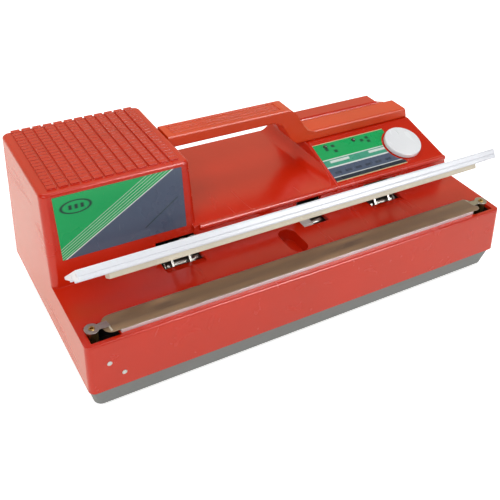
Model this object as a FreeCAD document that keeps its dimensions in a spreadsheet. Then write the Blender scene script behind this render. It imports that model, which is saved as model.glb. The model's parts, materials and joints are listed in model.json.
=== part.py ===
import FreeCAD, Part
import Sketcher
import math
import os

# Desk-top impulse heat sealer for plastic film bags, in millimetres.
# The two-part plastic case carries a sealing strip along its front deck. A white press bar on two
# short steel arms swings down about a shaft under the deck and squeezes the bag on the strip, while a
# transformer sends a timed pulse of current through the heating ribbon.
# X runs to the machine's right, Y to its back and Z up. Z = 0 is the bench the rubber feet stand on.
# While a piece is being drawn, Y is counted from the front edge of the deck; each piece's Placement
# then moves it back by "setback", so that the origin is the centre of the whole footprint.

V = FreeCAD.Vector
doc = FreeCAD.newDocument("heat_sealer")

# ---------------------------------------------------------------- driving dimensions

DIMENSIONS = [
    ("case_length", 310.0, "length of the case at deck level"),
    ("case_depth", 148.0, "deck front edge to the back of the housing top"),
    ("setback", 91.15, "deck front edge to the centre of the footprint, cord included"),
    ("draft", 0.04, "moulding draft of the outer walls, mm per mm of height"),
    ("front_draft", 0.1, "lean of the skirt's front, mm per mm of height"),
    ("wall", 2.5, "wall thickness of the plastic case"),
    ("foot_height", 3.0, "underside of the tray above the bench"),
    ("tray_floor", 3.0, "thickness of the tray floor"),
    ("seam_level", 17.0, "seam between grey tray and red case"),
    ("deck_level", 50.0, "top of the deck"),
    ("shelf_level", 66.8, "top of the low shelf between the housings"),
    ("housing_top", 109.5, "top of the tall left housing"),
    ("housing_right", -59.8, "right side of the left housing, at its top"),
    ("front_wall", 56.4, "deck front edge to the wall behind the deck"),
    ("front_lean", 0.161, "lean of the left housing's front, mm per mm of height"),
    ("panel_front", 55.0, "deck front edge to the lower edge of the control panel"),
    ("panel_pitch", 18.5, "slope of the control panel, degrees"),
    ("ledge_level", 80.7, "ledge that carries the handle beam"),
    ("ridge_level", 88.5, "top of the handle beam over the right housing"),
    ("handle_front", 98.0, "deck front edge to the front of the handle beam"),
    ("handle_width", 17.5, "front to back width of the handle beam"),
    ("grip_thickness", 8.5, "thickness of the grip"),
    ("pivot_setback", 53.0, "deck front edge to the press shaft"),
    ("pivot_level", 44.0, "height of the press shaft"),
    ("shaft_radius", 2.5, "radius of the press shaft"),
    ("running_gap", 0.05, "radial play of the shaft in its brackets"),
    ("open_angle", 33.5, "swing of the press bar, degrees"),
    ("left_arm", -74.0, "middle of the left arm"),
    ("right_arm", 87.0, "middle of the right arm"),
    ("arm_half", 7.0, "half the width of an arm"),
    ("sheet_metal", 1.6, "thickness of the folded steel"),
    ("strip_front", 4.0, "deck front edge to the support bar"),
    ("strip_width", 14.2, "width of the support bar"),
    ("strip_half", 132.5, "half the length of the support bar"),
    ("strip_thickness", 2.4, "thickness of the support bar"),
    ("ribbon_setback", 12.0, "deck front edge to the middle of the heating ribbon"),
    ("seal_left", -131.3, "left end of the silicone strip"),
    ("seal_right", 142.0, "right end of the silicone strip"),
    ("rubber_level", 53.0, "underside of the silicone strip with the bar closed"),
    ("channel_front", 6.7, "front of the channel that holds the silicone strip"),
    ("channel_back", 16.3, "back of the channel that holds the silicone strip"),
    ("bar_half", 150.5, "half the length of the press bar"),
    ("bar_front", -4.8, "front edge of the closed press bar"),
    ("bar_back", 31.2, "back edge of the closed press bar"),
    ("bar_under", 56.4, "lowest lips of the closed press bar"),
    ("bar_screw", 27.0, "deck front edge to the screws of the closed press bar"),
    ("eyelet_offset", 147.0, "middle of the machine to an eyelet"),
    ("knob_offset", 120.5, "middle of the machine to the timer knob"),
    ("knob_rise", 21.2, "panel's lower edge to the knob's middle, along the slope"),
    ("knob_radius", 14.3, "radius of the timer knob"),
    ("knob_height", 3.8, "top of the knob above the panel"),
    ("core_middle", -103.0, "middle of the transformer across the case"),
    ("core_setback", 104.0, "deck front edge to the middle of the transformer"),
    ("core_limb", 11.5, "width of a transformer limb"),
    ("core_height", 57.5, "height of the transformer core"),
    ("lever_setback", 84.0, "deck front edge to the microswitch lever's pin"),
    ("lever_level", 47.0, "height of the microswitch lever's pin"),
    ("lever_lean", -9.5, "slope of the microswitch lever with the bar raised, degrees"),
    ("spring_setback", 39.5, "deck front edge to the return springs"),
    ("seat_level", 41.2, "underside of the spring seats with the bar raised"),
    ("cord_radius", 3.0, "radius of the mains cord"),
    ("cord_setback", 173.6, "deck front edge to the cord lying behind the machine"),
    ("relief_middle", -112.0, "middle of the machine to the cord's strain relief"),
    ("relief_level", 31.0, "height of the strain relief"),
]

sheet = doc.addObject("Spreadsheet::Sheet", "dims")
for row, (alias, value, note) in enumerate(DIMENSIONS, start=1):
    sheet.set("A%d" % row, note)
    sheet.set("B%d" % row, str(value))
    sheet.setAlias("B%d" % row, alias)
doc.recompute()

# ---------------------------------------------------------------- sizes tied to the sheet


class Size:
    """A size worked out from the sheet: its present value and the expression that binds it."""

    def __init__(self, value, text):
        self.value = value
        self.text = text

    def __add__(self, other):
        return Size(number(self) + number(other), "(%s + %s)" % (text(self), text(other)))

    def __radd__(self, other):
        return self + other

    def __sub__(self, other):
        return Size(number(self) - number(other), "(%s - %s)" % (text(self), text(other)))

    def __rsub__(self, other):
        return Size(number(other) - number(self), "(%s - %s)" % (text(other), text(self)))

    def __mul__(self, other):
        return Size(number(self) * number(other), "(%s * %s)" % (text(self), text(other)))

    def __rmul__(self, other):
        return self * other

    def __truediv__(self, other):
        return Size(number(self) / number(other), "(%s / %s)" % (text(self), text(other)))

    def __rtruediv__(self, other):
        return Size(number(other) / number(self), "(%s / %s)" % (text(other), text(self)))

    def __neg__(self):
        return 0.0 - self

    def __lt__(self, other):
        return number(self) < number(other)


def number(size):
    """The present value of a size."""
    return size.value if isinstance(size, Size) else float(size)


def text(size):
    """The expression of a size."""
    return size.text if isinstance(size, Size) else "(%.6f)" % size


def sine(angle):
    """Sine of an angle in degrees."""
    return Size(math.sin(math.radians(number(angle))), "sin(%s * 1 deg)" % text(angle))


def cosine(angle):
    """Cosine of an angle in degrees."""
    return Size(math.cos(math.radians(number(angle))), "cos(%s * 1 deg)" % text(angle))


def dim(alias):
    """One driving dimension of the sheet."""
    return Size(float(sheet.get(alias)), "dims." + alias)


def bind(obj, path, size):
    """Ties one property of an object to the sheet."""
    obj.setExpression(path, text(size))


def place(obj, x, y, z):
    """Ties an object's position to the sheet."""
    bind(obj, "Placement.Base.x", x)
    bind(obj, "Placement.Base.y", y)
    bind(obj, "Placement.Base.z", z)


WALL = dim("wall")
DRAFT = dim("draft")
FOOT = dim("foot_height")
FLOOR = FOOT + dim("tray_floor")
SEAM = dim("seam_level")
DECK = dim("deck_level")
SHELF = dim("shelf_level")
LEDGE = dim("ledge_level")
TOP = dim("housing_top")
CEILING = DECK - WALL
HALF_LENGTH = dim("case_length") / 2
PITCH = dim("panel_pitch")
OPEN = dim("open_angle")
PIVOT_Y = dim("pivot_setback")
PIVOT_Z = dim("pivot_level")
SHAFT = dim("shaft_radius")
ARM_X = (dim("left_arm"), dim("right_arm"))
HANDLE_FRONT = dim("handle_front")
HANDLE_MIDDLE = HANDLE_FRONT + dim("handle_width") / 2
UPRIGHT = V(0, 0, 1)
AXES = (V(1, 0, 0), V(0, 1, 0), UPRIGHT)
PLANES = {"x": "YZ_Plane", "y": "XZ_Plane", "z": "XY_Plane"}
published = []

# ---------------------------------------------------------------- solid helpers


def box(x0, x1, y0, y1, z0, z1):
    """A rectangular solid between two corners."""
    obj = doc.addObject("Part::Box", "Block")
    bind(obj, "Length", x1 - x0)
    bind(obj, "Width", y1 - y0)
    bind(obj, "Height", z1 - z0)
    place(obj, x0, y0, z0)
    return obj


def round_solid(kind, start, end):
    """A cylinder or cone along one coordinate axis, from one end centre to the other."""
    spans = [number(b) - number(a) for a, b in zip(start, end)]
    axis = max(range(3), key=lambda i: abs(spans[i]))
    way = 1 if spans[axis] > 0 else -1
    obj = doc.addObject(kind, "Round")
    obj.Placement = FreeCAD.Placement(V(0, 0, 0), FreeCAD.Rotation(UPRIGHT, AXES[axis] * way))
    bind(obj, "Height", (end[axis] - start[axis]) * way)
    place(obj, *start)
    return obj


def drum(radius, start, end):
    """A cylinder along one coordinate axis."""
    obj = round_solid("Part::Cylinder", start, end)
    bind(obj, "Radius", radius)
    return obj


def cone(first, last, start, end):
    """A cone along one coordinate axis, with its two end radii."""
    obj = round_solid("Part::Cone", start, end)
    bind(obj, "Radius1", first)
    bind(obj, "Radius2", last)
    return obj


def lean(obj, angle):
    """Turns an object about X by an angle in degrees."""
    obj.Placement = FreeCAD.Placement(V(0, 0, 0), FreeCAD.Rotation(AXES[0], number(angle)))
    if number(angle) < 0:
        obj.Placement = FreeCAD.Placement(V(0, 0, 0), FreeCAD.Rotation(AXES[0] * -1, -number(angle)))
        angle = 0.0 - angle
    obj.setExpression("Placement.Rotation.Angle", text(angle) + " * 1 deg")


def leaning_drum(radius, foot, angle, length):
    """A cylinder whose upright axis is turned about X by an angle in degrees."""
    obj = doc.addObject("Part::Cylinder", "Leaning")
    lean(obj, angle)
    bind(obj, "Radius", radius)
    bind(obj, "Height", length)
    place(obj, *foot)
    return obj


def ball(radius, x, y, z):
    """A sphere."""
    obj = doc.addObject("Part::Sphere", "Ball")
    bind(obj, "Radius", radius)
    place(obj, x, y, z)
    return obj


def draw(sketch, outline):
    """Draws a closed outline of straight lines and pins every corner from the sketch's origin."""
    corners = [V(number(a), number(b), 0) for a, b in outline]
    count = len(corners)
    sketch.addGeometry([Part.LineSegment(corners[i], corners[(i + 1) % count]) for i in range(count)], False)
    sketch.addConstraint([Sketcher.Constraint("Coincident", i, 2, (i + 1) % count, 1) for i in range(count)])
    for i, corner in enumerate(outline):
        for kind, size in zip(("DistanceX", "DistanceY"), corner):
            index = sketch.addConstraint(Sketcher.Constraint(kind, -1, 1, i, 1, number(size)))
            if isinstance(size, Size):
                bind(sketch, "Constraints[%d]" % index, size)


def prism(axis, outline, low, high):
    """A body: a closed outline padded along one axis from low to high."""
    body = doc.addObject("PartDesign::Body", "Body")
    sketch = body.newObject("Sketcher::SketchObject", "Outline")
    plane = [feature for feature in body.Origin.OriginFeatures if feature.Role == PLANES[axis]][0]
    sketch.AttachmentSupport = (plane, [""])
    sketch.MapMode = "FlatFace"
    bind(sketch, "AttachmentOffset.Base.z", 0.0 - high if axis == "y" else low)
    draw(sketch, outline)
    pad = body.newObject("PartDesign::Pad", "Pad")
    pad.Profile = sketch
    bind(pad, "Length", high - low)
    return body


def tapered(low, high, z0, z1):
    """A four-sided block whose plan changes from low to high; each is (x0, x1, y0, y1)."""
    obj = doc.addObject("Part::Wedge", "Tapered")
    obj.Placement = FreeCAD.Placement(V(0, 0, 0), FreeCAD.Rotation(AXES[0], 90))
    for path, size in (
        ("Xmin", low[0]),
        ("Xmax", low[1]),
        ("Zmin", 0.0 - low[3]),
        ("Zmax", 0.0 - low[2]),
        ("X2min", high[0]),
        ("X2max", high[1]),
        ("Z2min", 0.0 - high[3]),
        ("Z2max", 0.0 - high[2]),
        ("Ymin", z0),
        ("Ymax", z1),
    ):
        bind(obj, path, size)
    return obj


def softened(base, choices):
    """A solid with edges rounded off; choices are (radius, test of an edge)."""
    doc.recompute()
    obj = doc.addObject("Part::Fillet", "Softened")
    obj.Base = base
    edges = []
    for radius, wanted in choices:
        edges += [(i, radius, radius) for i, edge in enumerate(base.Shape.Edges, start=1) if wanted(edge)]
    obj.Edges = edges
    return obj


def runs_along(axis):
    """A test for straight edges parallel to one coordinate axis, within the draft angle."""

    def test(edge):
        span = edge.lastVertex().Point - edge.firstVertex().Point
        return span.Length > 0.99 * edge.Length and abs(span.dot(axis)) > 0.9 * span.Length

    return test


def above(level):
    """A test for edges that lie higher than a level."""
    return lambda edge: edge.BoundBox.ZMin > number(level)


def joined(members):
    """One solid made of several overlapping ones."""
    obj = doc.addObject("Part::MultiFuse", "Joined")
    obj.Shapes = members
    obj.Refine = True
    return obj


def built_up(members):
    """One solid made by adding the members one after another, for those with faces in one plane."""
    whole = members[0]
    for member in members[1:]:
        obj = doc.addObject("Part::Fuse", "BuiltUp")
        obj.Base = whole
        obj.Tool = member
        obj.Refine = True
        whole = obj
    return whole


def shared(first, second):
    """The volume two solids have in common."""
    obj = doc.addObject("Part::Common", "Shared")
    obj.Base = first
    obj.Tool = second
    return obj


def group(members):
    """Several separate solids of one piece."""
    obj = doc.addObject("Part::Compound", "Group")
    obj.Links = members
    return obj


def without(base, tools):
    """A solid with several tools cut out of it."""
    obj = doc.addObject("Part::Cut", "Cut")
    obj.Base = base
    obj.Tool = tools[0] if len(tools) == 1 else group(tools)
    return obj


def tube(outer, inner, start, end):
    """A cylinder with a round hole along it."""
    return without(drum(outer, start, end), [drum(inner, start, end)])


def panel_point(x, along, height):
    """A point given by its distance up the sloping panel and its height over the panel."""
    y = dim("panel_front") + along * cosine(PITCH) - height * sine(PITCH)
    z = SHELF + along * sine(PITCH) + height * cosine(PITCH)
    return (x, y, z)


def panel_drum(radius, x, along, low, high):
    """A cylinder square to the control panel, between two heights above it."""
    return leaning_drum(radius, panel_point(x, along, low), PITCH, high - low)


def panel_box(x0, x1, along0, along1, low, high):
    """A block square to the control panel."""
    corners = ((along0, low), (along1, low), (along1, high), (along0, high))
    return prism("x", [panel_point(0, along, height)[1:] for along, height in corners], x0, x1)


def opened(y, z):
    """Where a point of the closed press ends up when the press bar is raised."""
    dy = y - PIVOT_Y
    dz = z - PIVOT_Z
    return (
        PIVOT_Y + dy * cosine(OPEN) + dz * sine(OPEN),
        PIVOT_Z - dy * sine(OPEN) + dz * cosine(OPEN),
    )


def link(y, z, first, lean, length, last, x0, x1):
    """A flat link between two round ends; lean is its slope from +Y in degrees."""
    end_y = y + length * cosine(lean)
    end_z = z + length * sine(lean)
    web = [
        (y - first * sine(lean), z + first * cosine(lean)),
        (end_y - last * sine(lean), end_z + last * cosine(lean)),
        (end_y + last * sine(lean), end_z - last * cosine(lean)),
        (y + first * sine(lean), z - first * cosine(lean)),
    ]
    ends = [drum(first, (x0, y, z), (x1, y, z)), drum(last, (x0, end_y, end_z), (x1, end_y, end_z))]
    return joined([prism("x", web, x0, x1)] + ends)


def screw(seat, axis, shank_radius, shank, head_radius, head):
    """A cross-head screw: the head's underside is at the seat and axis runs out through the head."""
    stem = drum(shank_radius, (0, 0, 0.0 - shank), (0, 0, head / 2))
    cap = softened(
        drum(head_radius, (0, 0, 0), (0, 0, head)),
        [(head * 0.45, lambda edge: edge.BoundBox.ZMin > head * 0.9)],
    )
    long_half, short_half = head_radius * 0.55, head_radius * 0.14
    slots = [
        box(-long_half, long_half, -short_half, short_half, head * 0.45, head * 1.5),
        box(-short_half, short_half, -long_half, long_half, head * 0.45, head * 1.5),
    ]
    obj = without(joined([stem, cap]), slots)
    obj.Placement = FreeCAD.Placement(V(0, 0, 0), FreeCAD.Rotation(UPRIGHT, V(*axis)))
    place(obj, *seat)
    return obj


def coil_spring(x, y, z0, z1, radius, wire, turns):
    """A compression spring with its axis along Z."""
    low = z0 + wire
    rise = z1 - z0 - 2 * wire
    helix = doc.addObject("Part::Helix", "Helix")
    bind(helix, "Pitch", rise / turns)
    bind(helix, "Height", rise)
    bind(helix, "Radius", radius)
    place(helix, x, y, low)
    section = doc.addObject("Part::Circle", "WireSection")
    section.Placement = FreeCAD.Placement(V(0, 0, 0), FreeCAD.Rotation(UPRIGHT, AXES[1]))
    bind(section, "Radius", wire)
    place(section, x + radius, y, low)
    return swept(section, helix)


def swept(section, path):
    """A section drawn along a path."""
    obj = doc.addObject("Part::Sweep", "Swept")
    obj.Sections = [section]
    obj.Spine = (path, [])
    obj.Solid = True
    obj.Frenet = True
    return obj


# ---------------------------------------------------------------- naming and placing


def publish(obj, label):
    """Names a fixed piece and sets it back from the deck's front edge."""
    drawn = dict(obj.ExpressionEngine).get(".Placement.Base.y", "0")
    obj.setExpression("Placement.Base.y", "%s - dims.setback" % drawn)
    obj.Label = label
    published.append(obj)


def publish_pressed(obj, label):
    """Names a piece drawn with the press closed, and swings it up to where it rests."""
    turn_y = PIVOT_Y * (1.0 - cosine(OPEN)) - PIVOT_Z * sine(OPEN)
    turn_z = PIVOT_Z * (1.0 - cosine(OPEN)) + PIVOT_Y * sine(OPEN)
    lean(obj, 0.0 - OPEN)
    bind(obj, "Placement.Base.y", turn_y - dim("setback"))
    bind(obj, "Placement.Base.z", turn_z)
    obj.Label = label
    published.append(obj)


# ---------------------------------------------------------------- red case

POSTS = [(-140.0, 32.0, 47.8), (140.0, 32.0, 47.8), (-140.0, 138.0, 107.4), (134.0, 136.0, 74.0)]
VENT_XS = [-138.0 + 9.0 * i for i in range(7)]
NOTCH_HALF = 13.8
NOTCH_FRONT = 46.5
RAMP_FRONT = 40.5
TRIGGER_X = (16.8, 24.8)
RELIEF_X = dim("relief_middle")
RELIEF_Z = dim("relief_level")
BACK_FACE = 151.5
FUSE_X, FUSE_Z = -40.0, 36.0
LAMPS = [(60.0, 36.0), (85.0, 36.0)]
BOARD_POSTS = [(66.0, 9.0), (128.0, 35.0)]
BOARD_FACE = -13.25
HANDLE_SCREW_XS = (66.0, 100.0, 132.0)
GRIP_SCREW_Z = 104.2
RIVETS = [(-142.8, 35.4), (-134.9, 25.9)]
STRIP_COUNT, STRIP_PITCH, STRIP_WIDTH = 12, 6.9, 5.5
TEETH = 20
MAIN_LEFT, MAIN_RIGHT = 47.2, 153.4
MAIN_TOP_LEFT, MAIN_TOP_RIGHT, MAIN_TOP = 50.6, 139.9, 92.0
COVE = 9.0
BEAD, BEAD_END = 2.0, 146.5
TERMINAL_X = (133.0, 150.6)
EDGE_ROUND = 1.2


def plan_at(z, inset):
    """The case's outer plan at one height, moved in by inset."""
    half = HALF_LENGTH - DRAFT * (z - DECK) - inset
    front = dim("front_draft") * (z - DECK) + inset
    back = dim("case_depth") + DRAFT * (TOP - z) - inset
    return (0.0 - half, half, front, back)


def housing_plan(z, inset):
    """The left housing's plan at one height."""
    left, _, _, back = plan_at(z, inset)
    right = dim("housing_right") + DRAFT * (TOP - z) - inset
    front = dim("front_wall") + (z - DECK) * dim("front_lean") + inset
    return (left, right, front, back)


def right_profile(inset, low):
    """Outline of the right housing seen from its end, moved in by inset."""
    front = dim("front_wall") + inset
    rise = SHELF - inset / cosine(PITCH)
    ledge = LEDGE - inset
    slope = sine(PITCH) / cosine(PITCH)
    back = plan_at(DECK, inset)[3]
    return [
        (front, low),
        (front, rise + (front - dim("panel_front")) * slope),
        (dim("panel_front") + (ledge - rise) / slope, ledge),
        (128.0, ledge),
        (149.2 - inset, 72.0 - inset),
        (back, DECK),
        (back, low),
    ]


def right_ends(inset):
    """Front view of the right housing between its two leaning side walls."""
    low = 30.0
    return [
        (MAIN_LEFT + inset, low),
        (MAIN_LEFT + inset, DECK),
        (MAIN_TOP_LEFT + inset, MAIN_TOP),
        (MAIN_TOP_RIGHT - inset, MAIN_TOP),
        (MAIN_RIGHT - inset, DECK),
        (MAIN_RIGHT - inset, low),
    ]


def back_block(inset, low):
    """End view of the raised block behind the handle beam."""
    top, front, back = 89.0, 115.8, 141.5
    return [
        (front + inset, low),
        (front + inset, top - inset),
        (129.0 - inset * 0.4, top - inset),
        (back - inset, 76.5),
        (back - inset, low),
    ]


def case_outside():
    """The outer volume of the red case."""
    root = DECK - 2 * EDGE_ROUND
    skirt = softened(
        tapered(plan_at(SEAM, 0), plan_at(DECK, 0), SEAM, DECK),
        [(4.0, runs_along(UPRIGHT))],
    )
    housing = softened(
        tapered(housing_plan(root, 0), housing_plan(TOP, 0), root, TOP),
        [(4.5, runs_along(UPRIGHT)), (2.2, above(TOP - 0.1))],
    )
    left, right = dim("housing_right") - 2.0, 52.0
    front = dim("front_wall")
    shelf = tapered(
        (left, right, front, plan_at(root, 0)[3]),
        (left, right, front, plan_at(SHELF, 0)[3]),
        root,
        SHELF,
    )
    ends = prism("y", right_ends(0), 40.0, 160.0)
    main = softened(
        shared(prism("x", right_profile(0, root), 30.0, 170.0), ends),
        [(2.0, lambda e: above(SHELF - 1)(e) and abs(e.tangentAt(e.FirstParameter).x) < 0.5)],
    )
    block_ends = [(51.0, 70.0), (51.0, 92.0), (126.2, 92.0), (130.0, 70.0)]
    block = softened(
        shared(prism("x", back_block(0, 76.0), 30.0, 170.0), prism("y", block_ends, 100.0, 160.0)),
        [(2.0, above(88.0))],
    )
    bead_y, bead_z = dim("panel_front") + 1.0, SHELF - 1.2
    bead = drum(BEAD, (-58.0, bead_y, bead_z), (BEAD_END, bead_y, bead_z))
    nub = ball(BEAD, BEAD_END, bead_y, bead_z)
    return built_up([skirt, housing, shelf, cove(), main, block, bead, nub])


def deck_edge():
    """What is cut away to round the deck's front edge."""
    y, z = EDGE_ROUND * (1 - dim("front_draft")), DECK - EDGE_ROUND
    reach = HALF_LENGTH + 5
    return without(
        box(0.0 - reach, reach, -1.0, y, z, DECK + 1),
        [drum(EDGE_ROUND, (-1.0 - reach, y, z), (reach + 1, y, z))],
    )


def cove():
    """The hollow curve where the shelf runs up into the right housing's side."""
    wall_x = 49.4
    quarter = without(
        box(wall_x - COVE, wall_x, 40.0, 160.0, SHELF - 0.5, SHELF + COVE),
        [drum(COVE, (wall_x - COVE, 39.0, SHELF + COVE), (wall_x - COVE, 161.0, SHELF + COVE))],
    )
    return shared(quarter, prism("x", right_profile(0, DECK - 1), 30.0, 60.0))


def case_inside():
    """The hollow of the red case, open at the bottom."""
    low = SEAM - 1.0
    skirt = tapered(plan_at(low, WALL), plan_at(CEILING, WALL), low, CEILING)
    housing = tapered(housing_plan(30.0, WALL), housing_plan(TOP - WALL, WALL), 30.0, TOP - WALL)
    shelf = box(-70.0, 55.0, dim("front_wall") + WALL, plan_at(SHELF, WALL)[3], 30.0, SHELF - WALL)
    ends = prism("y", right_ends(WALL), 40.0, 160.0)
    main = shared(prism("x", right_profile(WALL, 30.0), 31.0, 169.0), ends)
    block = shared(
        prism("x", back_block(WALL, 70.0), 30.0, 170.0),
        box(53.5, 124.0, 100.0, 160.0, 60.0, 92.0),
    )
    return joined([skirt, housing, shelf, main, block])


def grip_strips():
    """Toothed strips on top of the left housing."""
    front, back = 70.5, 146.8
    first = dim("housing_right") - 86.8
    strips = []
    for i in range(STRIP_COUNT):
        x = first + i * STRIP_PITCH
        strips.append(box(x, x + STRIP_WIDTH, front, back, TOP - 0.5, TOP + 0.95))
    last = first + STRIP_COUNT * STRIP_PITCH
    pitch = (back - front) / TEETH
    grooves = []
    for i in range(1, TEETH):
        y = front + i * pitch
        grooves.append(box(first - 1, last + 1, y - 0.35, y + 0.35, TOP + 0.65, TOP + 2))
    return without(group(strips), grooves)


def deck_slot(radius, z0, z1):
    """The round-ended slot in the middle of the deck, running front to back."""
    middle, front, back = 0.6, 22.0 + 6.4, 48.0 - 6.4
    ends = [drum(radius, (middle, y, z0), (middle, y, z1)) for y in (front, back)]
    return joined([box(middle - radius, middle + radius, front, back, z0, z1)] + ends)


def case_openings():
    """Everything cut through the skin of the red case."""
    cuts = [deck_edge()]
    ramp_end = NOTCH_FRONT + 0.1
    for x in ARM_X:
        cuts.append(box(x - NOTCH_HALF, x + NOTCH_HALF, NOTCH_FRONT, 63.0, 40.0, 61.0))
        ramp = [(RAMP_FRONT, DECK + 1), (RAMP_FRONT, DECK), (ramp_end, DECK - 1.8), (ramp_end, DECK + 1)]
        cuts.append(prism("x", ramp, x - NOTCH_HALF, x + NOTCH_HALF))
    cuts.append(box(15.8, 36.0, 44.0, 61.0, 40.0, 63.4))
    for x0, x1 in (TERMINAL_X, (-TERMINAL_X[1], -TERMINAL_X[0])):
        cuts.append(box(x0, x1, 3.2, 17.5, 45.0, DECK + 1))
    for x in VENT_XS:
        cuts.append(box(x - 1.6, x + 1.6, 140.0, 156.0, 62.0, 96.0))
    cuts.append(drum(5.4, (RELIEF_X, 140.0, RELIEF_Z), (RELIEF_X, 156.0, RELIEF_Z)))
    cuts.append(drum(6.2, (FUSE_X, 140.0, FUSE_Z), (FUSE_X, 156.0, FUSE_Z)))
    cuts.append(panel_drum(3.6, dim("knob_offset"), dim("knob_rise"), -5.0, 5.0))
    for x, along in LAMPS:
        cuts.append(panel_drum(1.55, x, along, -5.0, 5.0))
    for x in HANDLE_SCREW_XS:
        cuts.append(drum(1.7, (x, HANDLE_MIDDLE, 70.0), (x, HANDLE_MIDDLE, 83.0)))
    inner, outer = dim("housing_right") - 8, dim("housing_right") + 4
    cuts.append(drum(1.3, (inner, HANDLE_MIDDLE, GRIP_SCREW_Z), (outer, HANDLE_MIDDLE, GRIP_SCREW_Z)))
    for x, z in RIVETS:
        cuts.append(drum(1.4, (x, -6.0, z), (x, 6.0, z)))
    return cuts


def build_case():
    """Node upper_case: the red moulding with its deck, two housings and control panel."""
    shell = without(case_outside(), [case_inside()])
    additions = [grip_strips(), deck_slot(7.9, DECK - 10.0, DECK - 1.5)]
    for x, y, top in POSTS:
        additions.append(drum(4.0, (x, y, 24.5), (x, y, top)))
    for x, along in BOARD_POSTS:
        additions.append(panel_drum(3.0, x, along, BOARD_FACE + 0.05, -2.0))
    cuts = case_openings()
    cuts.append(deck_slot(6.4, DECK - 8.5, DECK + 1))
    for x, y, _ in POSTS:
        cuts.append(drum(1.5, (x, y, 20.0), (x, y, 36.0)))
    for x, along in BOARD_POSTS:
        cuts.append(panel_drum(1.2, x, along, -14.0, -5.0))
    publish(without(joined([shell] + additions), cuts), "upper_case")


# ---------------------------------------------------------------- grey tray

FEET = [(-118.0, 20.0), (118.0, 20.0), (-118.0, 132.0), (118.0, 132.0)]
CORE_X, CORE_Y = dim("core_middle"), dim("core_setback")
LIMB = dim("core_limb")
STRAP_FOOT = 3 * LIMB + 5.4
BRACKET_SCREWS = [(x + dx, y) for x in ARM_X for dx, y in ((-13.0, 34.5), (13.0, 59.0))]
CORE_FEET = [(CORE_X - STRAP_FOOT, CORE_Y), (CORE_X + STRAP_FOOT, CORE_Y)]
SWITCH_FOOT = (34.0, 87.0)
TOWER_SEAT = 18.0


def build_tray():
    """Node base_tray: the grey bottom tray with screw towers and a locating lip."""
    depth = dim("case_depth")
    inset_x = 2.4
    low = (inset_x - HALF_LENGTH, HALF_LENGTH - inset_x, 0.5, depth - 0.4)
    high = (-0.2 - HALF_LENGTH, HALF_LENGTH + 0.2, -2.2, depth + 2.6)
    outer = softened(tapered(low, high, FOOT, SEAM), [(5.0, runs_along(UPRIGHT))])
    rise = (FLOOR - FOOT) / (SEAM - FOOT)
    thick = WALL - rise * inset_x
    inner_low = (low[0] + thick, low[1] - thick, low[2] + WALL * 0.8, low[3] - WALL * 0.8)
    inner_high = (high[0] + WALL, high[1] - WALL, high[2] + WALL, high[3] - WALL)
    tray = without(outer, [tapered(inner_low, inner_high, FLOOR, SEAM + 0.01)])
    lip_low, lip_high = SEAM - 3.0, SEAM + 5.0
    near, far = WALL + 0.25, WALL + 2.0
    hollow = tapered(plan_at(SEAM, far), plan_at(lip_high, far), lip_low - 0.1, lip_high + 0.1)
    lip = without(tapered(plan_at(SEAM, near), plan_at(lip_high, near), lip_low, lip_high), [hollow])
    towers = [drum(5.5, (x, y, FOOT + 1.0), (x, y, 24.3)) for x, y, _ in POSTS]
    cuts = []
    for x, y, _ in POSTS:
        cuts.append(drum(4.2, (x, y, 0.0), (x, y, TOWER_SEAT)))
        cuts.append(drum(1.9, (x, y, 10.0), (x, y, 30.0)))
    for x, y in FEET:
        cuts.append(drum(3.0, (x, y, 0.0), (x, y, 10.0)))
    for x, y in BRACKET_SCREWS + CORE_FEET + [SWITCH_FOOT]:
        cuts.append(drum(1.5, (x, y, FOOT + 0.4), (x, y, 10.0)))
    for i in range(6):
        x = CORE_X - 25.0 + 10.0 * i
        cuts.append(box(x - 1.5, x + 1.5, 66.0, 80.0, 0.0, 10.0))
    publish(without(joined([tray, lip] + towers), cuts), "base_tray")


# ---------------------------------------------------------------- handle


def build_handle():
    """Node carry_handle: a grip from the left housing that steps down onto the right housing."""
    ridge = dim("ridge_level")
    under = TOP - dim("grip_thickness")
    start = dim("housing_right") + 0.5
    outline = [
        (start, TOP),
        (29.5, TOP),
        (34.5, TOP - 0.9),
        (39.0, TOP - 4.9),
        (46.5, ridge + 5.0),
        (49.5, ridge + 1.5),
        (53.5, ridge),
        (139.6, ridge),
        (142.0, LEDGE),
        (46.5, LEDGE),
        (41.0, LEDGE + 0.9),
        (36.5, LEDGE + 4.3),
        (31.5, under - 8.4),
        (27.5, under - 2.4),
        (23.0, under),
        (start, under),
    ]
    long_edge = runs_along(AXES[0])
    back = HANDLE_FRONT + dim("handle_width")
    beam = softened(
        prism("y", outline, HANDLE_FRONT, back),
        [(1.6, lambda edge: long_edge(edge) and edge.Length > 50)],
    )
    left, right, rim, middle = start + 4.4, 27.0, 3.1, 0.5
    rows = [(HANDLE_FRONT + rim, HANDLE_MIDDLE - middle), (HANDLE_MIDDLE + middle, back - rim)]
    beam = without(beam, [box(left, right, y0, y1, TOP - 0.5, TOP + 1) for y0, y1 in rows])
    ribs = []
    for y0, y1 in rows:
        line = (y0 + y1) / 2
        ribs.append(box(left + 1.0, right - 1.0, line - 0.8, line + 0.8, TOP - 0.8, TOP - 0.1))
    holes = [drum(1.6, (x, HANDLE_MIDDLE, 70.0), (x, HANDLE_MIDDLE, LEDGE + 6.0)) for x in HANDLE_SCREW_XS]
    inner, outer = start - 8, start + 12
    holes.append(drum(1.2, (inner, HANDLE_MIDDLE, GRIP_SCREW_Z), (outer, HANDLE_MIDDLE, GRIP_SCREW_Z)))
    publish(without(joined([beam] + ribs), holes), "carry_handle")


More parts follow.
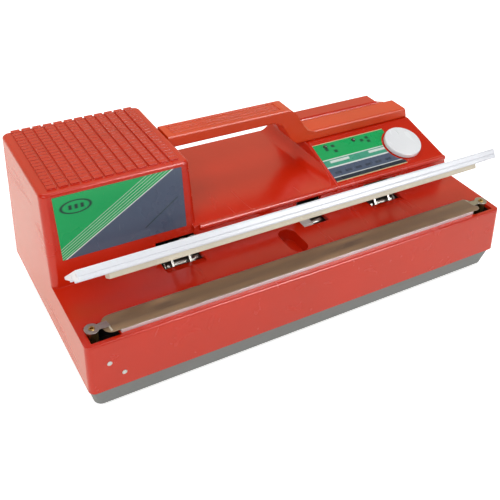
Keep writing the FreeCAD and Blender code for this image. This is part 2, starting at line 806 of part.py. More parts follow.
def build_handle_screws():
    """Node handle_screws: three up through the ledge and one through the left housing's wall."""
    under = LEDGE - WALL
    screws = [screw((x, HANDLE_MIDDLE, under), (0, 0, -1), 1.6, 8.0, 3.0, 1.9) for x in HANDLE_SCREW_XS]
    inner = dim("housing_right") - WALL + DRAFT * (TOP - GRIP_SCREW_Z)
    screws.append(screw((inner - 0.12, HANDLE_MIDDLE, GRIP_SCREW_Z), (-1, 0, 0), 1.2, 11.0, 2.2, 1.5))
    publish(group(screws), "handle_screws")


# ---------------------------------------------------------------- labels

LABEL = 0.3


def build_front_label():
    """Node front_label: the printed plate on the left housing's leaning front."""
    lean = dim("front_lean")
    long_lean = math.hypot(number(lean), 1.0)
    ring = []
    for down, over in ((2.6, 0.0), (42.8, 0.0), (42.8, LABEL), (2.6, LABEL)):
        z = TOP - down / long_lean
        y = dim("front_wall") + (z - DECK) * lean
        ring.append((y - over / long_lean, z + over * lean / long_lean))
    publish(prism("x", ring, -146.1, -65.8), "front_label")


def build_panel_label():
    """Node panel_label: the printed plate on the control panel, cut away around the knob."""
    cuts = [panel_drum(dim("knob_radius") + 1.6, dim("knob_offset"), dim("knob_rise"), -1.0, 1.0)]
    cuts += [panel_drum(1.7, x, along, -1.0, 1.0) for x, along in LAMPS]
    publish(without(panel_box(50.7, 114.0, 3.8, 39.7, 0.0, LABEL), cuts), "panel_label")


# ---------------------------------------------------------------- sealing strip

BAR_TOP = DECK + dim("strip_thickness")
STRIP_BACK = dim("strip_front") + dim("strip_width")
TAPE, RIBBON, CLOTH = 0.15, 0.1, 0.2
RIBBON_Y = dim("ribbon_setback")
RIBBON_END = 142.5
CLOTH_END = 141.5


def build_strip():
    """Nodes support_bar, insulation_tape, heating_element and ptfe_cover, from the deck up."""
    half = dim("strip_half")
    front = dim("strip_front")
    publish(box(0.0 - half, half, front, STRIP_BACK, DECK, BAR_TOP), "support_bar")
    publish(box(-138.0, 138.0, front + 1.5, STRIP_BACK - 1.0, BAR_TOP, BAR_TOP + TAPE), "insulation_tape")
    low = BAR_TOP + TAPE
    ribbon = box(-RIBBON_END, RIBBON_END, RIBBON_Y - 2.5, RIBBON_Y + 2.5, low, low + RIBBON)
    publish(ribbon, "heating_element")
    low = BAR_TOP + TAPE + RIBBON + 0.02
    back = STRIP_BACK + 0.1
    sheet_top = softened(
        box(-CLOTH_END, CLOTH_END, front - 0.1, back + CLOTH, low, low + CLOTH),
        [(6.0, runs_along(UPRIGHT))],
    )
    tuck = box(0.0 - half, half, back, back + CLOTH, DECK + 0.1, low + 0.1)
    publish(joined([sheet_top, tuck]), "ptfe_cover")


def build_eyelets():
    """Node element_eyelets: the ring terminals crimped on the ribbon's ends."""
    eyelets = []
    z0 = DECK + 1.9
    z1 = z0 + 0.75
    for side in (-1, 1):
        x = side * dim("eyelet_offset")
        x0, x1 = sorted((side * RIBBON_END, side * (RIBBON_END + 2.5)))
        ring = drum(4.3, (x, RIBBON_Y, z0), (x, RIBBON_Y, z1))
        tongue = box(x0, x1, RIBBON_Y - 2.2, RIBBON_Y + 2.2, z0, z1)
        bore = drum(1.8, (x, RIBBON_Y, z0 - 1), (x, RIBBON_Y, z1 + 1))
        eyelets.append(without(joined([ring, tongue]), [bore]))
    publish(group(eyelets), "element_eyelets")


def build_terminals():
    """Nodes terminal_blocks and element_posts: bakelite cups under the deck, each with its post."""
    blocks, posts = [], []
    for side in (-1, 1):
        x0, x1 = sorted((side * 131.0, side * 152.0))
        inner0, inner1 = sorted((side * TERMINAL_X[0], side * TERMINAL_X[1]))
        x = side * dim("eyelet_offset")
        blocks.append(without(box(x0, x1, 2.9, 19.5, 36.0, CEILING), [
            box(inner0, inner1, 3.9, 17.5, 38.5, CEILING + 1),
            drum(1.7, (x, RIBBON_Y, 30.0), (x, RIBBON_Y, 45.0)),
        ]))
        post = drum(1.7, (x, RIBBON_Y, 34.0), (x, RIBBON_Y, DECK + 3.1))
        collar = drum(3.4, (x, RIBBON_Y, 38.5), (x, RIBBON_Y, DECK + 1.8))
        bore = drum(1.0, (x, RIBBON_Y, DECK), (x, RIBBON_Y, DECK + 4.0))
        posts.append(without(joined([post, collar]), [bore]))
    publish(group(blocks), "terminal_blocks")
    publish(group(posts), "element_posts")


# ---------------------------------------------------------------- moving press

CHANNEL = (dim("channel_front"), dim("channel_back"))
BAR_Y = dim("bar_screw")
BAR_SCREW_DX = 3.6
FLANGE = dim("bar_under") + 0.7


def build_press_bar():
    """Node press_bar: the white extruded bar, drawn closed and then swung open."""
    front, back, under = dim("bar_front"), dim("bar_back"), dim("bar_under")
    root = under + 1.2
    crease = under + 4.0
    lip = 2.0
    outline = [
        (front + 0.6, root),
        (front, root + 0.6),
        (front, crease - 0.4),
        (front + 0.45, crease),
        (front, crease + 0.4),
        (front, under + 7.0),
        (front + 1.0, under + 7.8),
        (back - 0.4, under + 2.4),
        (back, under + 2.0),
        (back, FLANGE),
        (CHANNEL[1] + lip, FLANGE),
        (CHANNEL[1] + lip, under),
        (CHANNEL[1], under),
        (CHANNEL[1], under + 1.6),
        (CHANNEL[0], under + 1.6),
        (CHANNEL[0], under),
        (CHANNEL[0] - lip, under),
        (CHANNEL[0] - lip, root),
    ]
    half = dim("bar_half")
    ports = []
    for y, z in ((front + 3.4, under + 4.6), (front + 16.3, under + 3.3)):
        ports.append(drum(1.1, (-1.0 - half, y, z), (half + 1.0, y, z)))
    for x in ARM_X:
        for dx in (-BAR_SCREW_DX, BAR_SCREW_DX):
            ports.append(drum(1.6, (x + dx, BAR_Y, under), (x + dx, BAR_Y, under + 6.0)))
    publish_pressed(without(prism("x", outline, 0.0 - half, half), ports), "press_bar")


def build_silicone():
    """Node silicone_strip: the heat-proof rubber that presses the bag."""
    low, high, nose = dim("rubber_level"), dim("bar_under") + 1.6, 0.8
    outline = [
        (CHANNEL[0], high),
        (CHANNEL[0], low + nose),
        (CHANNEL[0] + nose, low),
        (CHANNEL[1] - nose, low),
        (CHANNEL[1], low + nose),
        (CHANNEL[1], high),
    ]
    publish_pressed(prism("x", outline, dim("seal_left"), dim("seal_right")), "silicone_strip")


def build_arm(middle, label):
    """A folded steel arm: two cheeks on the shaft, a pad under the bar and a seat for the spring."""
    half = dim("arm_half")
    gauge = dim("sheet_metal")
    lower_face = FLANGE - 2.0
    front = 21.5
    upper = [(front, FLANGE), (33.0, FLANGE), (42.0, 55.6), (50.0, 53.0), (56.0, 49.0), (58.5, 44.0)]
    lower = [(48.0, 49.0), (46.0, 51.0), (40.0, 53.2), (33.5, lower_face), (front, lower_face)]
    seat_low = dim("seat_level")
    seat_high = seat_low + gauge
    outline = [opened(y, z) for y, z in upper]
    outline += [(56.0, 39.6), (PIVOT_Y, 38.4), (47.6, 39.6), (45.0, seat_low), (33.5, seat_low)]
    outline += [(33.5, seat_high), (45.3, seat_high), (48.0, 46.3)]
    outline += [opened(y, z) for y, z in lower]
    pad = [opened(front, lower_face), opened(33.0, lower_face), opened(33.0, FLANGE), opened(front, FLANGE)]
    arm = joined([
        prism("x", outline, middle - half, middle - half + gauge),
        prism("x", outline, middle + half - gauge, middle + half),
        prism("x", pad, middle - half, middle + half),
        box(middle - half, middle + half, 33.5, 45.0, seat_low, seat_high),
    ])
    cuts = [drum(SHAFT, (middle - 10, PIVOT_Y, PIVOT_Z), (middle + 10, PIVOT_Y, PIVOT_Z))]
    for dx in (-BAR_SCREW_DX, BAR_SCREW_DX):
        foot = opened(BAR_Y, FLANGE - 6.0)
        cuts.append(leaning_drum(1.6, (middle + dx,) + foot, 0.0 - OPEN, 12.0))
    publish(without(arm, cuts), label)


def build_bar_screws():
    """Node press_bar_screws: two through the bar's thin back edge into each arm."""
    seat = dim("bar_under") + 3.5
    screws = []
    for x in ARM_X:
        for dx in (-BAR_SCREW_DX, BAR_SCREW_DX):
            screws.append(screw((x + dx, BAR_Y, seat), (0, 0, 1), 1.6, 6.2, 2.9, 1.6))
    publish_pressed(group(screws), "press_bar_screws")


def build_shaft():
    """Nodes press_shaft and shaft_clips: the cross shaft both arms are welded to, and its clips."""
    x0, x1 = ARM_X[0] - 14.0, ARM_X[1] + 14.0
    groove = 0.8
    grooves, clips = [], []
    for x in (x0 + 2.4, x1 - 3.2):
        ends = ((x, PIVOT_Y, PIVOT_Z), (x + groove, PIVOT_Y, PIVOT_Z))
        grooves.append(tube(SHAFT + 1.0, SHAFT - 0.5, *ends))
        mouth = box(x - 0.1, x + groove + 0.1, PIVOT_Y - 1.4, PIVOT_Y + 1.4, PIVOT_Z - 6.0, PIVOT_Z)
        clips.append(without(tube(4.4, SHAFT - 0.5, *ends), [mouth]))
    publish(without(drum(SHAFT, (x0, PIVOT_Y, PIVOT_Z), (x1, PIVOT_Y, PIVOT_Z)), grooves), "press_shaft")
    publish(group(clips), "shaft_clips")


def build_trigger():
    """Node trigger_cam: white nylon cam on the shaft; its tail lifts the microswitch lever."""
    x0, x1 = TRIGGER_X
    cam = joined([
        link(PIVOT_Y, PIVOT_Z, 5.4, 152.0, 5.8, 2.1, x0, x1),
        link(PIVOT_Y, PIVOT_Z, 2.5, OPEN / -2.0, 11.5, 2.4, x0, x1),
    ])
    bore = drum(SHAFT, (x0 - 1, PIVOT_Y, PIVOT_Z), (x1 + 1, PIVOT_Y, PIVOT_Z))
    publish(without(cam, [bore]), "trigger_cam")


# ---------------------------------------------------------------- brackets and springs

SPRING_Y = dim("spring_setback")
SPRING_FOOT = FLOOR + 2.0


def build_bracket(middle, label):
    """A steel bracket on the tray floor: two ears carry the shaft and a spigot holds the spring."""
    inner = dim("arm_half") + 0.8
    outer = inner + 2.0
    profile = [(43.0, FLOOR), (62.0, FLOOR), (57.5, 40.0), (57.5, PIVOT_Z), (55.6, PIVOT_Z + 3)]
    profile += [(50.4, PIVOT_Z + 3), (48.5, PIVOT_Z), (48.5, 40.0)]
    bracket = joined([
        box(middle - 17.0, middle + 17.0, 30.0, 64.0, FLOOR, SPRING_FOOT),
        drum(3.3, (middle, SPRING_Y, FLOOR + 1), (middle, SPRING_Y, SPRING_FOOT + 4.0)),
        prism("x", profile, middle - outer, middle - inner),
        prism("x", profile, middle + inner, middle + outer),
    ])
    bore = SHAFT + dim("running_gap")
    cuts = [drum(bore, (middle - 20, PIVOT_Y, PIVOT_Z), (middle + 20, PIVOT_Y, PIVOT_Z))]
    cuts += [drum(1.7, (x, y, 0.0), (x, y, 12.0)) for x, y in BRACKET_SCREWS]
    publish(without(bracket, cuts), label)


def build_floor_screws():
    """Node floor_screws: hold the brackets, the transformer and the switch plate to the tray."""
    up = (0, 0, 1)
    screws = [screw((x, y, SPRING_FOOT), up, 1.5, 4.4, 3.0, 1.9) for x, y in BRACKET_SCREWS]
    screws += [screw((x, y, FLOOR + 1.5), up, 1.5, 4.0, 3.0, 1.9) for x, y in CORE_FEET + [SWITCH_FOOT]]
    publish(group(screws), "floor_screws")


def build_springs():
    """Nodes return_spring_left and return_spring_right: they lift the press bar again."""
    for middle, label in zip(ARM_X, ("return_spring_left", "return_spring_right")):
        spring_top = dim("seat_level") - 0.05
        publish(coil_spring(middle, SPRING_Y, SPRING_FOOT, spring_top, 4.3, 0.65, 8), label)


# ---------------------------------------------------------------- microswitch

LEVER_Y, LEVER_Z = dim("lever_setback"), dim("lever_level")
LEVER_LEAN = dim("lever_lean")
LEVER_REACH = 20.0
LEVER_X = (17.6, 24.6)
SWITCH_X = (15.9, 26.4)
SWITCH_Y = (72.0, 99.0)
SWITCH_Z = (50.2, 61.2)
SWITCH_BOLTS = [(77.0, 56.0), (94.0, 56.0)]


def build_switch():
    """Nodes microswitch, microswitch_lever, switch_bracket and switch_screws."""
    ears = []
    for x in (SWITCH_X[0], SWITCH_X[1] - 1.3):
        ears.append(box(x, x + 1.3, LEVER_Y - 2.0, LEVER_Y + 2.0, LEVER_Z - 1.8, SWITCH_Z[0] + 0.2))
    body = joined([
        box(*SWITCH_X, *SWITCH_Y, *SWITCH_Z),
        drum(0.7, (SWITCH_X[0] + 0.1, LEVER_Y, LEVER_Z), (SWITCH_X[1] - 0.1, LEVER_Y, LEVER_Z)),
        drum(0.8, (21.0, 76.0, SWITCH_Z[0] - 0.9), (21.0, 76.0, SWITCH_Z[0] + 0.2)),
    ] + ears)
    publish(without(body, [drum(1.5, (10.0, y, z), (40.0, y, z)) for y, z in SWITCH_BOLTS]), "microswitch")

    blade = link(LEVER_Y, LEVER_Z, 0.4, 180.0 - LEVER_LEAN, LEVER_REACH, 0.4, *LEVER_X)
    eye = drum(1.6, (LEVER_X[0], LEVER_Y, LEVER_Z), (LEVER_X[1], LEVER_Y, LEVER_Z))
    bore = drum(0.75, (10.0, LEVER_Y, LEVER_Z), (30.0, LEVER_Y, LEVER_Z))
    publish(without(joined([blade, eye]), [bore]), "microswitch_lever")

    near, far, foot_end = SWITCH_X[1] + 0.1, SWITCH_X[1] + 1.6, 39.0
    bracket = joined([
        box(near, far, *SWITCH_Y, 48.0, 62.0),
        box(near, far, 79.0, 95.0, FLOOR, 50.0),
        box(near, foot_end, 79.0, 95.0, FLOOR, FLOOR + 1.5),
    ])
    holes = [drum(1.5, (10.0, y, z), (40.0, y, z)) for y, z in SWITCH_BOLTS]
    holes.append(drum(1.7, SWITCH_FOOT + (0.0,), SWITCH_FOOT + (20.0,)))
    publish(without(bracket, holes), "switch_bracket")

    screws = [screw((SWITCH_X[0], y, z), (-1, 0, 0), 1.5, 12.6, 2.6, 1.6) for y, z in SWITCH_BOLTS]
    publish(group(screws), "switch_screws")


# ---------------------------------------------------------------- transformer


def ring_block(outer_x, outer_y, inner_x, inner_y, bottom, top, corner):
    """A rectangular ring about the middle limb of the transformer, its outer corners rounded."""
    block = box(CORE_X - outer_x, CORE_X + outer_x, CORE_Y - outer_y, CORE_Y + outer_y, bottom, top)
    if corner:
        block = softened(block, [(corner, runs_along(UPRIGHT))])
    hole = (CORE_X - inner_x, CORE_X + inner_x, CORE_Y - inner_y, CORE_Y + inner_y, bottom - 1, top + 1)
    return without(block, [box(*hole)])


def build_transformer():
    """Nodes transformer_core, transformer_bobbin, transformer_coil and transformer_strap."""
    x, y, z0 = CORE_X, CORE_Y, FLOOR
    stack = 20.0
    height = dim("core_height")
    windows = []
    for a, b in ((-2 * LIMB, -1 * LIMB), (LIMB, 2 * LIMB)):
        windows.append(box(x + a, x + b, y - 50, y + 50, z0 + LIMB, z0 + height - LIMB))
    core = box(x - 3 * LIMB, x + 3 * LIMB, y - stack, y + stack, z0, z0 + height)
    publish(without(core, windows), "transformer_core")

    low, high = z0 + LIMB + 0.2, z0 + height - LIMB - 0.2
    hole_x, hole_y = LIMB + 0.1, stack + 0.1
    flange = 1.2
    members = [ring_block(hole_x + 1.1, hole_y + 1.1, hole_x, hole_y, low, high, 0)]
    for z in (low, high - flange):
        members.append(ring_block(22.8, 32.0, hole_x, hole_y, z, z + flange, 2.0))
    publish(joined(members), "transformer_bobbin")
    coil = ring_block(22.4, 31.0, hole_x + 1.2, hole_y + 1.2, low + 1.3, high - 1.3, 7.0)
    publish(coil, "transformer_coil")

    gauge, foot = 1.5, 9.2
    edge = 3 * LIMB + 0.05
    top = z0 + height + 0.05
    outline = [
        (x - edge - foot, z0), (x - edge, z0), (x - edge, top), (x + edge, top), (x + edge, z0),
        (x + edge + foot, z0), (x + edge + foot, z0 + gauge), (x + edge + gauge, z0 + gauge),
        (x + edge + gauge, top + gauge), (x - edge - gauge, top + gauge),
        (x - edge - gauge, z0 + gauge), (x - edge - foot, z0 + gauge),
    ]
    holes = [drum(1.7, (a, b, 0.0), (a, b, 12.0)) for a, b in CORE_FEET]
    publish(without(prism("y", outline, y - 9.0, y + 9.0), holes), "transformer_strap")


# ---------------------------------------------------------------- timer and electronics

SPINDLE = 3.0
CAN_BACK = -13.1


def build_timer():
    """Nodes timer_knob, potentiometer_shaft, timer_potentiometer and potentiometer_nut."""
    x, rise = dim("knob_offset"), dim("knob_rise")
    radius, height = dim("knob_radius"), dim("knob_height")
    top_z = number(panel_point(0.0, rise, height)[2])
    body = softened(
        panel_drum(radius, x, rise, 0.6, height),
        [(1.0, lambda edge: edge.Length > 50 and abs(edge.BoundBox.Center.z - top_z) < 0.5)],
    )
    tools = [
        panel_drum(10.5, x, rise, -1.0, 2.0),
        panel_drum(SPINDLE, x, rise, 0.0, height - 0.8),
        panel_box(x - 0.5, x + 0.5, rise + 6.0, rise + 12.0, height - 0.3, height + 1),
    ]
    publish(without(body, tools), "timer_knob")
    publish(panel_drum(SPINDLE, x, rise, -12.0, height - 0.9), "potentiometer_shaft")

    plate = 8.5
    pot = without(joined([
        panel_drum(8.0, x, rise, CAN_BACK, -3.4),
        panel_box(x - plate, x + plate, rise - plate, rise + plate, -3.4, -2.6),
        panel_drum(3.5, x, rise, -3.0, 1.7),
    ]), [panel_drum(SPINDLE + 0.05, x, rise, -12.05, 5.0)])
    publish(pot, "timer_potentiometer")

    nut = doc.addObject("Part::Prism", "Hexagon")
    nut.Polygon = 6
    lean(nut, PITCH)
    bind(nut, "Circumradius", 5.8)
    bind(nut, "Height", 1.5)
    place(nut, *panel_point(x, rise, 0.0))
    publish(without(nut, [panel_drum(3.5, x, rise, -1.0, 4.0)]), "potentiometer_nut")


def build_board():
    """Nodes circuit_board, relay, capacitor, indicator_lamps and board_screws."""
    back = BOARD_FACE - 1.55
    holes = [panel_drum(1.3, x, along, -20.0, -10.0) for x, along in BOARD_POSTS]
    publish(without(panel_box(58.0, 133.0, 3.5, 39.5, back, BOARD_FACE), holes), "circuit_board")
    publish(panel_box(66.0, 84.0, 15.0, 30.0, -30.0, back - 0.05), "relay")
    publish(panel_drum(5.0, 92.0, 32.0, -27.0, back - 0.05), "capacitor")
    lamps = []
    for x, along in LAMPS:
        members = [panel_drum(1.45, x, along, -8.5, 0.4), panel_drum(2.0, x, along, -8.5, -7.5)]
        members.append(ball(1.45, *panel_point(x, along, 0.4)))
        members += [panel_drum(0.3, x + dx, along, BOARD_FACE + 0.05, -8.4) for dx in (-1.2, 1.2)]
        lamps.append(joined(members))
    publish(group(lamps), "indicator_lamps")
    inward = (0, math.sin(math.radians(number(PITCH))), -math.cos(math.radians(number(PITCH))))
    screws = [screw(panel_point(x, along, back), inward, 1.2, 7.5, 2.4, 1.5) for x, along in BOARD_POSTS]
    publish(group(screws), "board_screws")


# ---------------------------------------------------------------- mains entry

CORD_R = dim("cord_radius")
CORD_Y = dim("cord_setback")
PLUG_Z = 7.0


def quarter_turn(start, end, centre):
    """A quarter of a circle between two points about a centre."""
    radius = (start - centre).Length
    middle = centre + ((start - centre) + (end - centre)).normalize() * radius
    return Part.Arc(start, middle, end).toShape()


def build_cord():
    """Nodes strain_relief, power_cord, power_plug and plug_pins."""
    sleeve = drum(5.3, (RELIEF_X, 146.0, RELIEF_Z), (RELIEF_X, BACK_FACE, RELIEF_Z))
    flange = drum(8.0, (RELIEF_X, BACK_FACE, RELIEF_Z), (RELIEF_X, BACK_FACE + 2.5, RELIEF_Z))
    nose = cone(6.2, 4.4, (RELIEF_X, BACK_FACE + 2.4, RELIEF_Z), (RELIEF_X, BACK_FACE + 10.4, RELIEF_Z))
    bore = drum(CORD_R, (RELIEF_X, 130.0, RELIEF_Z), (RELIEF_X, 170.0, RELIEF_Z))
    publish(without(joined([sleeve, flange, nose]), [bore]), "strain_relief")

    x, y, z = number(RELIEF_X), number(CORD_Y), number(RELIEF_Z)
    bend, turn, inside = 10.0, 9.0, 138.0
    low = number(CORD_R) + 0.15
    sweep, end = 40.0, 18.0
    angle = math.acos(1.0 - (PLUG_Z - low) / (2 * sweep))
    start = end - 2 * sweep * math.sin(angle)
    middle = V((start + end) / 2, y, (low + PLUG_Z) / 2)
    sag = sweep * (1.0 - math.cos(angle / 2))
    reach = sweep * math.sin(angle / 2)
    path = doc.addObject("Part::Feature", "CordPath")
    path.Shape = Part.Wire([
        Part.makeLine(V(x, inside, z), V(x, y - bend, z)),
        quarter_turn(V(x, y - bend, z), V(x, y, z - bend), V(x, y - bend, z - bend)),
        Part.makeLine(V(x, y, z - bend), V(x, y, low + turn)),
        quarter_turn(V(x, y, low + turn), V(x + turn, y, low), V(x + turn, y, low + turn)),
        Part.makeLine(V(x + turn, y, low), V(start, y, low)),
        Part.Arc(V(start, y, low), V(start + reach, y, low + sag), middle).toShape(),
        Part.Arc(middle, V(end - reach, y, PLUG_Z - sag), V(end, y, PLUG_Z)).toShape(),
    ])
    section = doc.addObject("Part::Circle", "CordSection")
    section.Placement = FreeCAD.Placement(V(0, 0, 0), FreeCAD.Rotation(UPRIGHT, AXES[1]))
    bind(section, "Radius", CORD_R)
    place(section, RELIEF_X, inside, RELIEF_Z)
    cord = swept(section, path)

    body = softened(
        box(18.0, 52.0, CORD_Y - 12.0, CORD_Y + 12.0, 0.0, 2 * PLUG_Z),
        [(4.0, runs_along(AXES[0]))],
    )
    neck = cone(4.2, 6.4, (7.0, CORD_Y, PLUG_Z), (19.0, CORD_Y, PLUG_Z))
    plug = without(joined([body, neck]), [drum(CORD_R, (15.0, CORD_Y, PLUG_Z), (18.0, CORD_Y, PLUG_Z)), cord])
    publish(plug, "power_plug")
    pins = []
    for side in (-1, 1):
        y = CORD_Y + side * 6.35
        pins.append(box(52.0, 69.0, y - 0.75, y + 0.75, PLUG_Z - 3.1, PLUG_Z + 3.1))
    publish(group(pins), "plug_pins")
    publish(group([cord]), "power_cord")


def build_fuse_holder():
    """Node fuse_holder: the screw-in fuse cap on the back of the case."""
    members = [
        drum(6.1, (FUSE_X, 128.0, FUSE_Z), (FUSE_X, BACK_FACE, FUSE_Z)),
        drum(8.0, (FUSE_X, BACK_FACE - 0.1, FUSE_Z), (FUSE_X, BACK_FACE + 2.3, FUSE_Z)),
        drum(5.6, (FUSE_X, BACK_FACE + 2.2, FUSE_Z), (FUSE_X, BACK_FACE + 8.5, FUSE_Z)),
    ]
    slot = box(FUSE_X - 4.0, FUSE_X + 4.0, BACK_FACE + 7.5, BACK_FACE + 9.5, FUSE_Z - 0.6, FUSE_Z + 0.6)
    publish(without(joined(members), [slot]), "fuse_holder")


# ---------------------------------------------------------------- feet and fasteners


def build_feet():
    """Node rubber_feet: four round feet with a peg pushed through the tray floor."""
    feet = []
    for x, y in FEET:
        pad = drum(9.0, (x, y, 0.0), (x, y, FOOT))
        peg = drum(3.0, (x, y, FOOT - 1.0), (x, y, FLOOR + 2.0))
        feet.append(joined([pad, peg]))
    publish(group(feet), "rubber_feet")


def build_base_screws():
    """Node base_screws: from below the tray up into the case's posts."""
    screws = [screw((x, y, TOWER_SEAT), (0, 0, -1), 1.5, 17.0, 3.5, 2.2) for x, y, _ in POSTS]
    publish(group(screws), "base_screws")


def build_rivets():
    """Node front_rivets: two small white plastic rivets low on the case front."""
    rivets = []
    for x, z in RIVETS:
        face = dim("front_draft") * (z - DECK)
        stem = drum(1.4, (x, face - 0.22, z), (x, face + WALL - 0.1, z))
        dome = shared(ball(2.4, x, face + 1.7, z), box(x - 3, x + 3, face - 3, face - 0.16, z - 3, z + 3))
        rivets.append(joined([stem, dome]))
    publish(group(rivets), "front_rivets")


# ---------------------------------------------------------------- build everything

build_case()
build_tray()
build_handle()
build_handle_screws()
build_front_label()
build_panel_label()
build_strip()
build_eyelets()
build_terminals()
build_press_bar()
build_silicone()
build_arm(dim("left_arm"), "press_arm_left")
build_arm(dim("right_arm"), "press_arm_right")
build_bar_screws()
build_shaft()
build_trigger()
build_bracket(dim("left_arm"), "pivot_bracket_left")
build_bracket(dim("right_arm"), "pivot_bracket_right")
build_floor_screws()
build_springs()
build_switch()
build_transformer()
build_timer()
build_board()
build_cord()
build_fuse_holder()
build_feet()
build_base_screws()
build_rivets()
doc.recompute()

for obj in doc.Objects:
    if "Invalid" in obj.State or "Error" in obj.State:
        raise RuntimeError("object %s is in state %s" % (obj.Name, obj.State))
for obj in published:
    if obj.Shape.isNull() or not obj.Shape.isValid() or not obj.Shape.Solids:
        raise RuntimeError("piece %s has no valid solid" % obj.Label)

os.makedirs("parts", exist_ok=True)
for obj in published:
    obj.Shape.exportStep("parts/%s.step" % obj.Label)
    print(obj.Label, len(obj.Shape.Solids), round(obj.Shape.Volume, 1))
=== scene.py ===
import json
import math

import bmesh
import bpy
from mathutils import Matrix, Vector


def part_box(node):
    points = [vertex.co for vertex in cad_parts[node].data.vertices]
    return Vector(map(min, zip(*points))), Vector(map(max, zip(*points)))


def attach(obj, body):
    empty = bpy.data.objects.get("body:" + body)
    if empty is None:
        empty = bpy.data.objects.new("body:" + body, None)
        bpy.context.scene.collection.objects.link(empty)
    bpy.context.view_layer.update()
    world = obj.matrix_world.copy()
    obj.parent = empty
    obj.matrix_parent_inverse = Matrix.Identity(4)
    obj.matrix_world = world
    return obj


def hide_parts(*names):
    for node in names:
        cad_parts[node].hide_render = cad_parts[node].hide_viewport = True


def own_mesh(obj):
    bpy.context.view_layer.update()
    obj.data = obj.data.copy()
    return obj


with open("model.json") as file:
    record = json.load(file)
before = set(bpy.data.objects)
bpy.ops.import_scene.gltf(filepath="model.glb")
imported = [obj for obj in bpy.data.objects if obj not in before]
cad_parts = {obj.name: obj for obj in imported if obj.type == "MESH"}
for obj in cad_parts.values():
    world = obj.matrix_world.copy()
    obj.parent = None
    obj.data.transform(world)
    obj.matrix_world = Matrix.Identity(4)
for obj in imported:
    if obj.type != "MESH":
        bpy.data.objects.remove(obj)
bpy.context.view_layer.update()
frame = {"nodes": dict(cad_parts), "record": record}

# Looks for the impulse heat sealer. Every length is in metres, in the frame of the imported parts:
# X along the sealing strip, Y to the back, Z up from the bench.

NODES = frame["nodes"]
MM = 0.001

# ---------------------------------------------------------------- colours


def linear(red, green, blue):
    """A linear colour from 0-255 display values."""
    out = []
    for channel in (red, green, blue):
        c = channel / 255.0
        out.append(c / 12.92 if c <= 0.04045 else ((c + 0.055) / 1.055) ** 2.4)
    return (out[0], out[1], out[2], 1.0)


def shade(colour, factor):
    """A lighter or darker version of a colour."""
    return (colour[0] * factor, colour[1] * factor, colour[2] * factor, 1.0)


RED = linear(207, 38, 7)
ORANGE = linear(224, 68, 10)
GREY = linear(122, 126, 126)
WHITE = linear(236, 238, 244)
CREAM = linear(238, 228, 204)
CLOTH = linear(148, 118, 84)
SCORCH = linear(74, 52, 38)
STEEL = linear(176, 174, 168)
ALUMINIUM = linear(226, 226, 228)
BRASS = linear(206, 172, 104)
COPPER = linear(150, 78, 40)
BLACK = linear(24, 24, 26)
KNOB = linear(244, 246, 248)
NYLON = linear(226, 226, 218)
LABEL_GREEN = linear(8, 172, 92)
LABEL_TEAL = linear(70, 162, 132)
LABEL_SLATE = linear(82, 94, 116)
LABEL_BLACK = linear(46, 52, 62)
LABEL_INK = linear(22, 56, 50)
LABEL_WHITE = linear(232, 236, 232)
LABEL_RIM = linear(214, 196, 150)
RUBBED = linear(150, 160, 158)
DUST = linear(214, 206, 196)
TAPE_DARK = linear(196, 188, 166)
TAPE_PALE = linear(228, 222, 204)
SHEET_DARK = linear(46, 46, 50)
SHEET_PALE = linear(96, 94, 92)
RUST = linear(104, 62, 40)
PAPER_DARK = linear(244, 244, 246)
PAPER_PALE = linear(250, 250, 252)
BOARD = linear(40, 110, 60)
LAMP = linear(58, 78, 66)
PURE = (1.0, 1.0, 1.0, 1.0)
WARM = (1.0, 0.86, 0.58, 1.0)

# ---------------------------------------------------------------- levels

FLOOR_GLOW = 0.62  # light the floor adds for the camera and in reflections
WORLD_FILL = 0.55  # light from all round on rough surfaces
WORLD_IN_GLOSS = 0.07  # how bright the room in front of the machine looks in reflections
WALL_IN_GLOSS = 0.85  # how bright the wall behind the machine looks in reflections

CAMERA_PLACE = (-0.2266, -0.37265, 0.3349)
CAMERA_ANGLES = (-31.53, 37.21, 3.04)  # azimuth, elevation and roll in degrees
CAMERA_LENS = 52.23  # in millimetres, on a sensor 36 mm wide

# ---------------------------------------------------------------- node graphs


